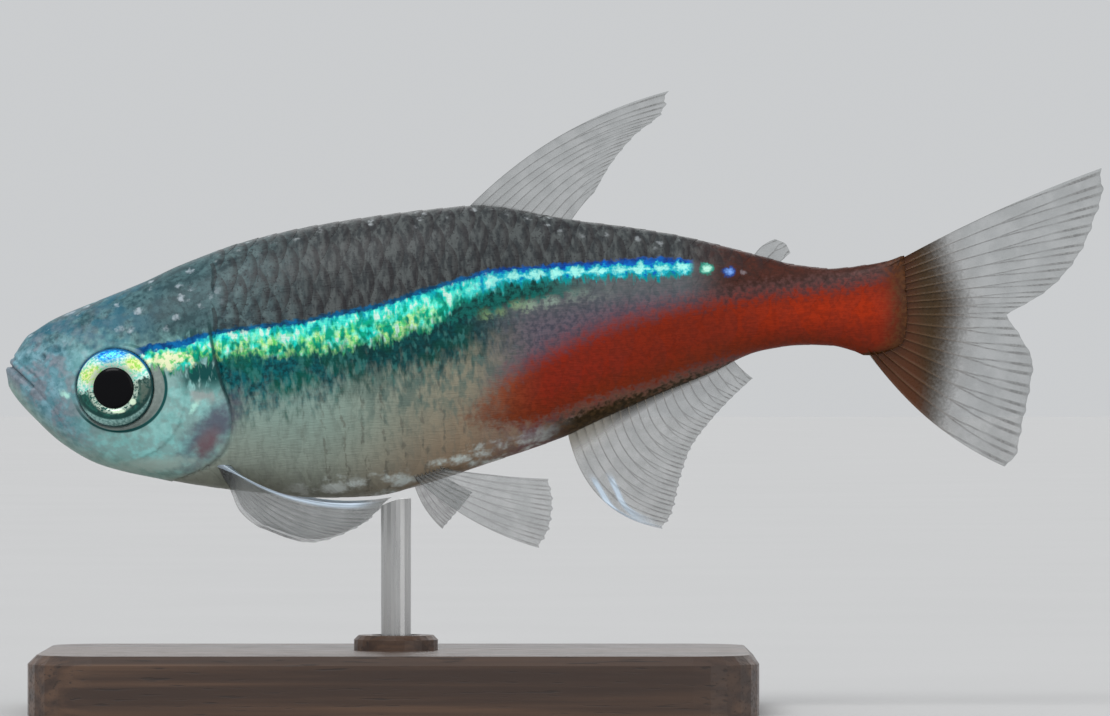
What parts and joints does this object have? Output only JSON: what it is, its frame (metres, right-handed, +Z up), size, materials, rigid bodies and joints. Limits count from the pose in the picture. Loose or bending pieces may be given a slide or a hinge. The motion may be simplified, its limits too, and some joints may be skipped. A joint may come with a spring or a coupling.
{
  "type": "neon tetra",
  "caption": "Still, life-size neon tetra, a slim schooling fish with forked tail and ray fins, held level over a flat base by one rod.",
  "frame": {"origin": "middle of the stand's underside, which stands on the surface; the rod rises from it", "axes": "+Z up, the fish's head towards -X and its tail towards +X, its left flank towards -Y"},
  "size_m": [0.0367, 0.014, 0.0206],
  "materials": {
    "head_skin": "wet-looking silvery skin, grey-teal on the cheeks",
    "cover_skin": "silvery teal with a dull red patch low down at the rear",
    "eye": "black pupil in a blue, turquoise and gold iris under a clear cornea",
    "flank_skin": "grey-brown scaled back, bright blue-green stripe, silvery belly",
    "red_skin": "vivid red scales, dusky along the top",
    "fin_web": "clear smoky membrane between fine darker rays",
    "stand_wood": "dark stained walnut, satin",
    "stand_steel": "fine brushed steel"
  },
  "bodies": {
    "root": {"head": "head_skin", "lower_jaw": "head_skin", "gill_cover_left": "cover_skin", "gill_cover_right": "cover_skin", "eye_left": "eye", "eye_right": "eye", "trunk": "flank_skin", "tail_stalk": "red_skin", "dorsal_fin": "fin_web", "adipose_fin": "fin_web", "caudal_fin_upper": "fin_web", "caudal_fin_lower": "fin_web", "anal_fin": "fin_web", "pectoral_fin_left": "fin_web", "pectoral_fin_right": "fin_web", "pelvic_fin_left": "fin_web", "pelvic_fin_right": "fin_web", "stand_base": "stand_wood", "stand_rod": "stand_steel"}
  },
  "joints": []
}
